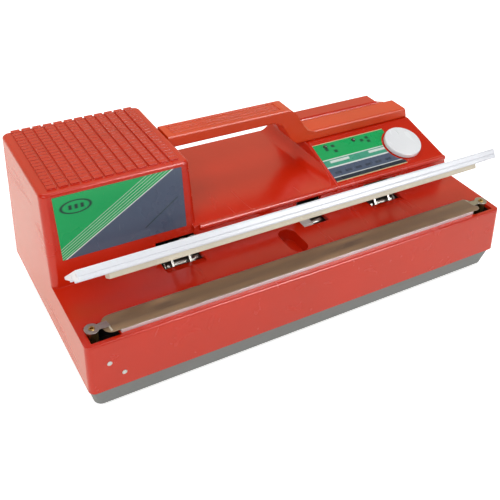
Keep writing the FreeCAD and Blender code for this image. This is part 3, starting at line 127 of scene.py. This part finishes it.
class Graph:
    """One material's node tree, with short calls for the nodes used here."""

    def __init__(self, name):
        self.material = bpy.data.materials.new(name)
        self.material.use_nodes = True
        self.tree = self.material.node_tree
        self.tree.nodes.clear()
        self.shader = self.tree.nodes.new("ShaderNodeBsdfPrincipled")
        output = self.tree.nodes.new("ShaderNodeOutputMaterial")
        self.tree.links.new(self.shader.outputs["BSDF"], output.inputs["Surface"])
        self.where = self.tree.nodes.new("ShaderNodeTexCoord").outputs["Object"]
        self.axes = None

    def feed(self, socket, value):
        """Gives a socket a value, or links another socket to it."""
        if isinstance(value, bpy.types.NodeSocket):
            self.tree.links.new(value, socket)
        else:
            socket.default_value = value

    def set(self, name, value):
        """Sets one input of the shader."""
        self.feed(self.shader.inputs[name], value)

    def math(self, operation, a, b=0.0):
        """One sum, product or other calculation on two values."""
        node = self.tree.nodes.new("ShaderNodeMath")
        node.operation = operation
        self.feed(node.inputs[0], a)
        self.feed(node.inputs[1], b)
        return node.outputs[0]

    def coordinate(self, axis):
        """X, Y or Z of the point being shaded, in metres."""
        if self.axes is None:
            node = self.tree.nodes.new("ShaderNodeSeparateXYZ")
            self.tree.links.new(self.where, node.inputs[0])
            self.axes = node.outputs
        return self.axes[axis]

    def noise(self, scale, detail=3.0, stretch=(1.0, 1.0, 1.0), distortion=0.0):
        """Noise from 0 to 1; scale is in features per metre."""
        mapping = self.tree.nodes.new("ShaderNodeMapping")
        self.tree.links.new(self.where, mapping.inputs["Vector"])
        mapping.inputs["Scale"].default_value = stretch
        node = self.tree.nodes.new("ShaderNodeTexNoise")
        self.tree.links.new(mapping.outputs[0], node.inputs["Vector"])
        node.inputs["Scale"].default_value = scale
        node.inputs["Detail"].default_value = detail
        node.inputs["Distortion"].default_value = distortion
        return node.outputs["Fac"]

    def cells(self, scale):
        """Distance to the nearest of many scattered points."""
        node = self.tree.nodes.new("ShaderNodeTexVoronoi")
        self.tree.links.new(self.where, node.inputs["Vector"])
        node.inputs["Scale"].default_value = scale
        return node.outputs["Distance"]

    def wave(self, scale, axis, distortion=0.0, detail=1.0):
        """Bands square to one axis; scale is in bands per metre."""
        node = self.tree.nodes.new("ShaderNodeTexWave")
        node.wave_type = "BANDS"
        node.bands_direction = axis
        node.wave_profile = "SIN"
        self.tree.links.new(self.where, node.inputs["Vector"])
        node.inputs["Scale"].default_value = scale * math.pi / 10.0
        node.inputs["Distortion"].default_value = distortion
        node.inputs["Detail"].default_value = detail
        return node.outputs["Fac"]

    def remap(self, value, low, high, to_low=0.0, to_high=1.0):
        """Stretches low..high to to_low..to_high, clamped."""
        node = self.tree.nodes.new("ShaderNodeMapRange")
        node.clamp = True
        self.feed(node.inputs["Value"], value)
        node.inputs["From Min"].default_value = low
        node.inputs["From Max"].default_value = high
        node.inputs["To Min"].default_value = to_low
        node.inputs["To Max"].default_value = to_high
        return node.outputs[0]

    def mix(self, mask, a, b):
        """Colour a where mask is 0, colour b where it is 1."""
        node = self.tree.nodes.new("ShaderNodeMix")
        node.data_type = "RGBA"
        self.feed(node.inputs["Factor"], mask)
        self.feed(node.inputs[6], a)
        self.feed(node.inputs[7], b)
        return node.outputs[2]

    def soft_edges(self, radius):
        """A normal that rounds sharp edges by a small radius."""
        node = self.tree.nodes.new("ShaderNodeBevel")
        node.samples = 4
        node.inputs["Radius"].default_value = radius
        return node.outputs["Normal"]

    def edge_mask(self, rounded):
        """1 on sharp edges, 0 on flats, from a rounded normal."""
        geometry = self.tree.nodes.new("ShaderNodeNewGeometry")
        dot = self.tree.nodes.new("ShaderNodeVectorMath")
        dot.operation = "DOT_PRODUCT"
        self.tree.links.new(rounded, dot.inputs[0])
        self.tree.links.new(geometry.outputs["Normal"], dot.inputs[1])
        return self.remap(dot.outputs["Value"], 0.995, 0.86)

    def bump(self, height, strength, distance, normal=None):
        """Adds relief; distance is the height of the relief in metres."""
        node = self.tree.nodes.new("ShaderNodeBump")
        node.inputs["Strength"].default_value = strength
        node.inputs["Distance"].default_value = distance
        self.feed(node.inputs["Height"], height)
        if normal is not None:
            self.tree.links.new(normal, node.inputs["Normal"])
        return node.outputs["Normal"]

    def between(self, value, low, high, soft=0.0001):
        """1 where low < value < high."""
        rise = self.remap(value, low - soft, low + soft)
        fall = self.remap(value, high - soft, high + soft, 1.0, 0.0)
        return self.math("MULTIPLY", rise, fall)

    def both(self, *masks):
        """1 where every mask is 1."""
        result = masks[0]
        for mask in masks[1:]:
            result = self.math("MULTIPLY", result, mask)
        return result

    def either(self, *masks):
        """1 where any mask is 1."""
        result = masks[0]
        for mask in masks[1:]:
            result = self.math("MAXIMUM", result, mask)
        return result


# ---------------------------------------------------------------- materials


def plastic(name, colour, roughness, grain, depth, coat=0.0, edge_tone=1.25, radius=0.6 * MM, dust=0.10):
    """Moulded plastic: soft edges, fine grain, faint scuffs, dust and uneven gloss."""
    g = Graph(name)
    rounded = g.soft_edges(radius)
    edges = g.edge_mask(rounded)
    cloud = g.noise(14.0, 4.0)
    tone = g.mix(g.remap(cloud, 0.35, 0.65), shade(colour, 0.93), shade(colour, 1.05))
    worn = g.both(edges, g.remap(g.noise(160.0, 4.0), 0.42, 0.60))
    tone = g.mix(g.math("MULTIPLY", worn, 0.55), tone, shade(colour, edge_tone))
    specks = g.remap(g.cells(420.0), 0.055, 0.02)
    thinned = g.both(specks, g.remap(g.noise(24.0, 2.0), 0.52, 0.60))
    tone = g.mix(g.math("MULTIPLY", thinned, dust * 2.5), tone, DUST)
    scuffs = g.remap(g.noise(90.0, 6.0, (1.0, 0.12, 1.0), 0.6), 0.60, 0.68)
    rough = g.math("ADD", roughness, g.remap(cloud, 0.3, 0.7, -0.03, 0.05))
    rough = g.math("ADD", rough, g.math("MULTIPLY", scuffs, 0.08))
    rough = g.math("ADD", rough, g.math("MULTIPLY", edges, 0.06))
    g.set("Base Color", tone)
    g.set("Roughness", rough)
    g.set("IOR", 1.5)
    g.set("Coat Weight", coat)
    g.set("Coat Roughness", 0.08)
    waves = g.bump(g.noise(55.0, 2.0), 0.12, 0.25 * MM, rounded)
    g.set("Normal", g.bump(g.noise(grain, 3.0), 0.35, depth, waves))
    return g.material


def metal(name, colour, roughness, stretch, metallic=1.0):
    """Rolled, drawn or plated metal with a lay along the stretched axis."""
    g = Graph(name)
    rounded = g.soft_edges(0.3 * MM)
    edges = g.edge_mask(rounded)
    lay = g.noise(900.0, 4.0, stretch)
    blotch = g.noise(60.0, 4.0)
    tone = g.mix(g.remap(lay, 0.3, 0.7), shade(colour, 0.86), shade(colour, 1.08))
    tone = g.mix(g.remap(blotch, 0.52, 0.72, 0.0, 0.6), tone, shade(colour, 0.85))
    # Painted highlight: every edge of the metal is made lighter, as if catching the light.
    tone = g.mix(g.math("MULTIPLY", edges, 0.5), tone, shade(colour, 1.25))
    g.set("Base Color", tone)
    g.set("Metallic", metallic)
    g.set("Roughness", g.math("ADD", roughness, g.remap(lay, 0.2, 0.8, -0.06, 0.10)))
    g.set("Normal", g.bump(lay, 0.25, 0.03 * MM, rounded))
    return g.material


def rubber(name, colour, roughness):
    """Matt rubber with a fine dusty surface."""
    g = Graph(name)
    rounded = g.soft_edges(0.4 * MM)
    cloud = g.noise(45.0, 4.0)
    tone = g.mix(g.remap(cloud, 0.35, 0.65), shade(colour, 0.90), shade(colour, 1.06))
    tone = g.mix(g.remap(g.noise(400.0, 2.0), 0.62, 0.75, 0.0, 0.25), tone, shade(colour, 1.3))
    g.set("Base Color", tone)
    g.set("Roughness", g.remap(cloud, 0.3, 0.7, roughness - 0.05, roughness + 0.08))
    g.set("Normal", g.bump(g.noise(1500.0, 3.0), 0.4, 0.05 * MM, rounded))
    return g.material


def cloth_cover():
    """Brown coated glass cloth: woven, stained darker along the line of the ribbon."""
    g = Graph("release_cloth")
    low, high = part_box("ptfe_cover")
    middle = (low.y + high.y) / 2
    weave = g.math("MULTIPLY", g.wave(1100.0, "X"), g.wave(1100.0, "Y"))
    across = g.math("ABSOLUTE", g.math("SUBTRACT", g.coordinate(1), middle))
    band = g.remap(across, 4.5 * MM, 1.5 * MM)
    patches = g.noise(38.0, 6.0, (0.35, 1.0, 1.0), 0.8)
    tone = g.mix(g.remap(patches, 0.34, 0.66), shade(CLOTH, 0.66), shade(CLOTH, 1.25))
    tone = g.mix(g.both(band, g.remap(patches, 0.42, 0.62, 0.25, 0.8)), tone, SCORCH)
    streaks = g.remap(g.noise(260.0, 4.0, (0.08, 1.0, 1.0)), 0.56, 0.70, 0.0, 0.5)
    tone = g.mix(streaks, tone, shade(CLOTH, 0.55))
    tone = g.mix(g.remap(weave, 0.0, 1.0, 0.0, 0.22), tone, shade(CLOTH, 1.6))
    g.set("Base Color", tone)
    g.set("Roughness", g.remap(patches, 0.3, 0.7, 0.42, 0.66))
    g.set("Sheen Weight", 0.15)
    relief = g.bump(weave, 0.5, 0.06 * MM)
    g.set("Normal", g.bump(patches, 0.35, 0.5 * MM, relief))
    return g.material


def glass_tape():
    """Pale woven glass tape."""
    g = Graph("glass_tape")
    weave = g.math("MULTIPLY", g.wave(900.0, "X"), g.wave(900.0, "Y"))
    g.set("Base Color", g.mix(weave, TAPE_DARK, TAPE_PALE))
    g.set("Roughness", 0.8)
    g.set("Normal", g.bump(weave, 0.6, 0.08 * MM))
    return g.material


def finish_print(g, tone):
    """The varnish every printed plate shares: faint scratches and uneven gloss."""
    scratches = g.remap(g.noise(900.0, 6.0, (1.0, 0.15, 0.15), 0.4), 0.66, 0.72, 0.0, 0.15)
    cloud = g.noise(40.0, 3.0)
    g.set("Base Color", g.mix(scratches, tone, RUBBED))
    g.set("Roughness", g.remap(cloud, 0.3, 0.7, 0.22, 0.36))
    g.set("Normal", g.bump(g.noise(1400.0, 2.0), 0.12, 0.02 * MM, g.soft_edges(0.2 * MM)))
    return g.material


def front_print():
    """Green and slate plate split by a white diagonal, with fine stripes and an oval emblem."""
    g = Graph("front_print")
    low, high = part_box("front_label")
    width, height = high.x - low.x, high.z - low.z
    u = g.math("DIVIDE", g.math("SUBTRACT", g.coordinate(0), low.x), width)
    v = g.math("DIVIDE", g.math("SUBTRACT", g.coordinate(2), low.z), height)
    soft, fine = 0.006, 0.004

    def above_line(step):
        """Height over the nth slanting line, which runs up from the plate's left to its top edge."""
        start, top = 0.035 * step - 0.03, 0.93 - 0.037 * step
        rise = g.math("MULTIPLY", u, (1.0 - start) / top)
        return g.math("SUBTRACT", g.math("SUBTRACT", v, start), rise)

    edge = above_line(0)
    tone = g.mix(g.remap(edge, -soft, soft), LABEL_SLATE, LABEL_GREEN)
    tone = g.mix(g.between(edge, -fine, 0.014, fine), tone, LABEL_WHITE)
    for step in range(1, 6):
        stripe = g.between(above_line(1.15 * step + 0.1), -fine, fine, fine)
        tone = g.mix(g.math("MULTIPLY", stripe, 0.85), tone, LABEL_WHITE)

    rule_left, rule_low, rule_slope = 0.66, 0.16, 1.3
    along = g.math("MULTIPLY", g.math("SUBTRACT", u, rule_left), rule_slope)
    rule = g.math("SUBTRACT", g.math("SUBTRACT", v, rule_low), along)
    stroke = g.both(g.between(rule, -0.008, 0.008, soft), g.between(u, rule_left, 0.95, soft))
    tone = g.mix(stroke, tone, LABEL_INK)

    emblem_u, emblem_v, emblem_stretch = 0.16, 0.80, 2.3
    across = g.math("MULTIPLY", g.math("SUBTRACT", u, emblem_u), width / height / emblem_stretch)
    up = g.math("SUBTRACT", v, emblem_v)
    squares = g.math("ADD", g.math("MULTIPLY", across, across), g.math("MULTIPLY", up, up))
    tone = g.mix(g.between(g.math("SQRT", squares), 0.088, 0.106, soft), tone, LABEL_INK)
    for step in range(3):
        left = emblem_u - 0.055 + 0.045 * step
        bar = g.both(
            g.between(u, left, left + 0.025, soft),
            g.between(v, emblem_v - 0.035, emblem_v + 0.035, soft),
        )
        tone = g.mix(bar, tone, LABEL_INK)
    return finish_print(g, tone)


def panel_print():
    """Control plate: green field, a teal row with two pale windows, a slate band and a dark foot."""
    g = Graph("panel_print")
    low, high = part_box("panel_label")
    u = g.math("DIVIDE", g.math("SUBTRACT", g.coordinate(0), low.x), high.x - low.x)
    v = g.math("DIVIDE", g.math("SUBTRACT", g.coordinate(1), low.y), high.y - low.y)
    soft = 0.008
    teal_top, slate_top, foot_top = 0.56, 0.36, 0.11

    def block(tone, left, bottom, width, height, strength, colour):
        """Prints one rectangle."""
        mask = g.both(
            g.between(u, left, left + width, soft),
            g.between(v, bottom, bottom + height, soft),
        )
        return g.mix(g.math("MULTIPLY", mask, strength), tone, colour)

    tone = g.mix(g.remap(v, teal_top, teal_top + 0.02), LABEL_TEAL, LABEL_GREEN)
    tone = g.mix(g.between(v, teal_top - 0.005, teal_top + 0.015, soft), tone, LABEL_WHITE)
    tone = g.mix(g.remap(v, slate_top + soft, slate_top - soft), tone, LABEL_SLATE)
    tone = g.mix(g.between(v, slate_top - 0.005, slate_top + 0.025, soft), tone, LABEL_WHITE)
    for left in (0.08, 0.62):
        tone = block(tone, left, 0.47, 0.26, 0.06, 0.85, LABEL_WHITE)
    for left, bottom in ((0.12, 0.78), (0.22, 0.84), (0.22, 0.70), (0.62, 0.80), (0.70, 0.84), (0.70, 0.74)):
        tone = block(tone, left, bottom, 0.045, 0.07, 0.85, LABEL_INK)
    for step in range(6):
        tone = block(tone, 0.05 + 0.14 * step, 0.185, 0.085, 0.06, 0.6, LABEL_BLACK)
    tone = g.mix(g.remap(v, foot_top + soft, foot_top - soft), tone, LABEL_BLACK)
    tone = g.mix(g.between(v, foot_top, foot_top + 0.015, soft), tone, LABEL_WHITE)
    tone = g.mix(g.remap(v, 0.022, 0.014), tone, LABEL_RIM)
    tone = g.mix(g.remap(v, 0.975, 0.985), tone, LABEL_RIM)
    return finish_print(g, tone)


def coil_wire():
    """Enamelled wire laid in close turns."""
    g = Graph("coil_wire")
    turns = g.wave(1400.0, "Z", 1.5, 2.0)
    # Painted shade in the gaps between the turns and painted highlight along each turn's crest.
    g.set("Base Color", g.mix(turns, shade(COPPER, 0.45), shade(COPPER, 1.2)))
    g.set("Metallic", 0.7)
    g.set("Roughness", 0.35)
    g.set("Normal", g.bump(turns, 0.8, 0.25 * MM))
    return g.material


def laminations():
    """Varnished steel sheets seen on edge."""
    g = Graph("laminations")
    sheets = g.wave(2000.0, "Y", 0.4, 1.0)
    tone = g.mix(sheets, SHEET_DARK, SHEET_PALE)
    rust = g.remap(g.noise(70.0, 5.0), 0.60, 0.72, 0.0, 0.6)
    g.set("Base Color", g.mix(rust, tone, RUST))
    g.set("Metallic", 0.6)
    g.set("Roughness", 0.5)
    g.set("Normal", g.bump(sheets, 0.6, 0.12 * MM))
    return g.material


def floor_material():
    """Seamless studio paper: almost white, a little mottled."""
    g = Graph("studio_paper")
    g.set("Base Color", g.mix(g.noise(6.0, 3.0), PAPER_DARK, PAPER_PALE))
    g.set("Roughness", 0.9)
    path = g.tree.nodes.new("ShaderNodeLightPath")
    seen = g.either(path.outputs["Is Camera Ray"], path.outputs["Is Glossy Ray"])
    g.set("Emission Color", g.mix(path.outputs["Is Glossy Ray"], PURE, WARM))
    g.set("Emission Strength", g.math("MULTIPLY", seen, FLOOR_GLOW))
    return g.material


MATERIALS = {
    "red_case": plastic("red_case", RED, 0.22, 2600.0, 0.006 * MM, dust=0.06),
    "grey_case": plastic("grey_case", GREY, 0.52, 1500.0, 0.05 * MM),
    "orange_handle": plastic("orange_handle", ORANGE, 0.36, 1100.0, 0.05 * MM),
    "white_bar": plastic("white_bar", WHITE, 0.30, 2000.0, 0.01 * MM, edge_tone=1.02, radius=0.4 * MM),
    "white_nylon": plastic("white_nylon", NYLON, 0.42, 1500.0, 0.02 * MM, edge_tone=1.02),
    "knob_plastic": plastic("knob_plastic", KNOB, 0.26, 2000.0, 0.01 * MM, coat=0.2, edge_tone=1.02),
    "black_plastic": plastic("black_plastic", BLACK, 0.45, 1200.0, 0.03 * MM, edge_tone=2.0),
    "board": plastic("board", BOARD, 0.35, 900.0, 0.03 * MM),
    "lamp_plastic": plastic("lamp_plastic", LAMP, 0.12, 2000.0, 0.005 * MM, coat=0.6),
    "zinc_steel": metal("zinc_steel", STEEL, 0.34, (1.0, 1.0, 0.25)),
    "spring_steel": metal("spring_steel", STEEL, 0.28, (1.0, 1.0, 1.0)),
    "ribbon_steel": metal("ribbon_steel", STEEL, 0.30, (0.05, 1.0, 1.0)),
    "aluminium_bar": metal("aluminium_bar", ALUMINIUM, 0.36, (0.03, 1.0, 1.0), metallic=0.45),
    "brass_parts": metal("brass_parts", BRASS, 0.28, (1.0, 1.0, 0.3)),
    "core_iron": laminations(),
    "copper_coil": coil_wire(),
    "silicone": rubber("silicone", CREAM, 0.55),
    "black_rubber": rubber("black_rubber", BLACK, 0.60),
    "glass_tape": glass_tape(),
    "release_cloth": cloth_cover(),
}


def paint_nodes():
    """Gives every CAD node the procedural material of its slot."""
    special = {"front_label": front_print(), "panel_label": panel_print()}
    for entry in frame["record"]["subparts"]:
        node, slot = entry["node"], entry["material_slot"]
        material = special.get(node) or MATERIALS[slot]
        mesh = NODES[node].data
        mesh.materials.clear()
        mesh.materials.append(material)
        for polygon in mesh.polygons:
            polygon.material_index = 0


# ---------------------------------------------------------------- soft and springy pieces


def release_cloth():
    """The cover over the ribbon as real cloth: rounded ends that sag past the bar, slightly wavy."""
    low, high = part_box("ptfe_cover")
    bar_low, bar_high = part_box("support_bar")
    thick, corner, sag = 0.2 * MM, 6.5 * MM, 1.1 * MM
    free_end = 9.0 * MM
    waver, waver_pitch = 0.12 * MM, 310.0
    ripple_height, ripple_along, ripple_across = 0.25 * MM, 900.0, 260.0
    columns, rows = 360, 14
    mesh = bpy.data.meshes.new("release_cloth")
    shape = bmesh.new()
    top, under = [], []
    for i in range(columns + 1):
        x = low.x + (high.x - low.x) * i / columns
        inset = 0.0
        for end in (x - low.x, high.x - x):
            if end < corner:
                inset = corner - math.sqrt(max(0.0, corner ** 2 - (corner - end) ** 2))
        past = max(0.0, bar_low.x - x, x - bar_high.x) / free_end
        drop = sag * past ** 2
        for j in range(rows + 1):
            front = low.y + inset + waver * math.sin(x * waver_pitch)
            back = high.y - inset
            y = front + (back - front) * j / rows
            ripple = ripple_height * past * math.sin(x * ripple_along + y * ripple_across)
            z = high.z - drop + ripple
            top.append(shape.verts.new((x, y, z)))
            under.append(shape.verts.new((x, y, z - thick)))
    width = rows + 1
    for i in range(columns):
        for j in range(rows):
            a, b, c, d = i * width + j, (i + 1) * width + j, (i + 1) * width + j + 1, i * width + j + 1
            shape.faces.new((top[a], top[b], top[c], top[d]))
            shape.faces.new((under[d], under[c], under[b], under[a]))
    rim = [i * width for i in range(columns + 1)]
    rim += [columns * width + j for j in range(1, width)]
    rim += [i * width + rows for i in range(columns - 1, -1, -1)]
    rim += [j for j in range(rows - 1, 0, -1)]
    for a, b in zip(rim, rim[1:] + rim[:1]):
        shape.faces.new((top[a], under[a], under[b], top[b]))
    shape.to_mesh(mesh)
    shape.free()
    for polygon in mesh.polygons:
        polygon.use_smooth = True
    mesh.materials.append(MATERIALS["release_cloth"])
    cloth = bpy.data.objects.new("release_cloth", mesh)
    bpy.context.scene.collection.objects.link(cloth)
    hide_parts("ptfe_cover")
    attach(cloth, "machine_body")


def springs():
    """The return springs, copied from the CAD coils and carried by the machine body; nothing here makes them
    shorten as the press bar comes down.
    """
    for side in ("left", "right"):
        node = "return_spring_" + side
        mesh = NODES[node].data.copy()
        spring = bpy.data.objects.new("coil_" + side, mesh)
        bpy.context.scene.collection.objects.link(spring)
        spring.matrix_world = NODES[node].matrix_world.copy()
        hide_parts(node)
        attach(spring, "machine_body")
        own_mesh(spring)


# ---------------------------------------------------------------- stage


def area_light(name, place, target, size, power):
    """A soft white box that faces a point."""
    data = bpy.data.lights.new(name, "AREA")
    data.shape = "RECTANGLE"
    data.size, data.size_y = size
    data.energy = power
    light = bpy.data.objects.new(name, data)
    light.location = place
    direction = Vector(target) - Vector(place)
    light.rotation_euler = direction.to_track_quat("-Z", "Y").to_euler()
    bpy.context.scene.collection.objects.link(light)
    return light


def build_stage():
    """Pale floor, white surroundings, three soft boxes and a strip that only shows in reflections."""
    mesh = bpy.data.meshes.new("studio_floor")
    shape = bmesh.new()
    bmesh.ops.create_grid(shape, x_segments=8, y_segments=8, size=3.0)
    shape.to_mesh(mesh)
    shape.free()
    floor = bpy.data.objects.new("studio_floor", mesh)
    floor.location.z = -0.2 * MM
    mesh.materials.append(floor_material())
    bpy.context.scene.collection.objects.link(floor)

    build_world()
    aim = (0.0, 0.0, 0.05)
    area_light("soft_box_front_left", (-0.9, -0.9, 1.1), aim, (0.9, 0.7), 7.2)
    area_light("soft_box_right", (1.2, -0.5, 0.8), aim, (0.7, 0.7), 2.0)
    area_light("soft_box_top", (0.1, 0.5, 1.5), aim, (1.2, 0.8), 5.0)
    strip = area_light("strip_light_edges", (0.58, -0.85, 0.95), aim, (0.35, 1.3), 24.0)
    strip.visible_diffuse = False


def build_world():
    """White surroundings: dim in front and bright behind when seen in a reflection."""
    world = bpy.data.worlds.new("studio")
    world.use_nodes = True
    tree = world.node_tree
    backdrop = tree.nodes["Background"]

    def choose(factor, low, high, start=0.0, end=1.0):
        """Goes from low to high as the factor goes from start to end."""
        node = tree.nodes.new("ShaderNodeMapRange")
        tree.links.new(factor, node.inputs["Value"])
        node.inputs["From Min"].default_value = start
        node.inputs["From Max"].default_value = end
        for name, value in (("To Min", low), ("To Max", high)):
            if isinstance(value, bpy.types.NodeSocket):
                tree.links.new(value, node.inputs[name])
            else:
                node.inputs[name].default_value = value
        return node.outputs[0]

    toward = tree.nodes.new("ShaderNodeSeparateXYZ")
    tree.links.new(tree.nodes.new("ShaderNodeTexCoord").outputs["Generated"], toward.inputs[0])
    path = tree.nodes.new("ShaderNodeLightPath")
    wall = choose(toward.outputs["Y"], WORLD_IN_GLOSS, WALL_IN_GLOSS, 0.25, 0.60)
    lit = choose(path.outputs["Is Glossy Ray"], WORLD_FILL, wall)
    strength = choose(path.outputs["Is Camera Ray"], lit, 1.0)
    tree.links.new(strength, backdrop.inputs["Strength"])

    warmth = tree.nodes.new("ShaderNodeMix")
    warmth.data_type = "RGBA"
    warmth.inputs[6].default_value = PURE
    warmth.inputs[7].default_value = WARM
    tree.links.new(path.outputs["Is Glossy Ray"], warmth.inputs["Factor"])
    tree.links.new(warmth.outputs[2], backdrop.inputs["Color"])
    bpy.context.scene.world = world


def build_camera():
    """The camera: to the left of the machine, looking down at its front."""
    azimuth, elevation, roll = (math.radians(angle) for angle in CAMERA_ANGLES)
    away = Vector((
        math.sin(azimuth) * math.cos(elevation),
        -math.cos(azimuth) * math.cos(elevation),
        math.sin(elevation),
    ))
    level = (-away).cross(Vector((0.0, 0.0, 1.0))).normalized()
    upright = level.cross(-away)
    right = level * math.cos(roll) + upright * math.sin(roll)
    up = upright * math.cos(roll) - level * math.sin(roll)
    data = bpy.data.cameras.new("photo_camera")
    data.sensor_width = 36.0
    data.lens = CAMERA_LENS
    data.clip_start = 10 * MM
    camera = bpy.data.objects.new("photo_camera", data)
    turn = Matrix((right, up, away)).transposed().to_4x4()
    camera.matrix_world = Matrix.Translation(CAMERA_PLACE) @ turn
    bpy.context.scene.collection.objects.link(camera)
    bpy.context.scene.camera = camera


paint_nodes()
release_cloth()
springs()
build_stage()
build_camera()
bpy.context.scene.view_settings.view_transform = "Standard"
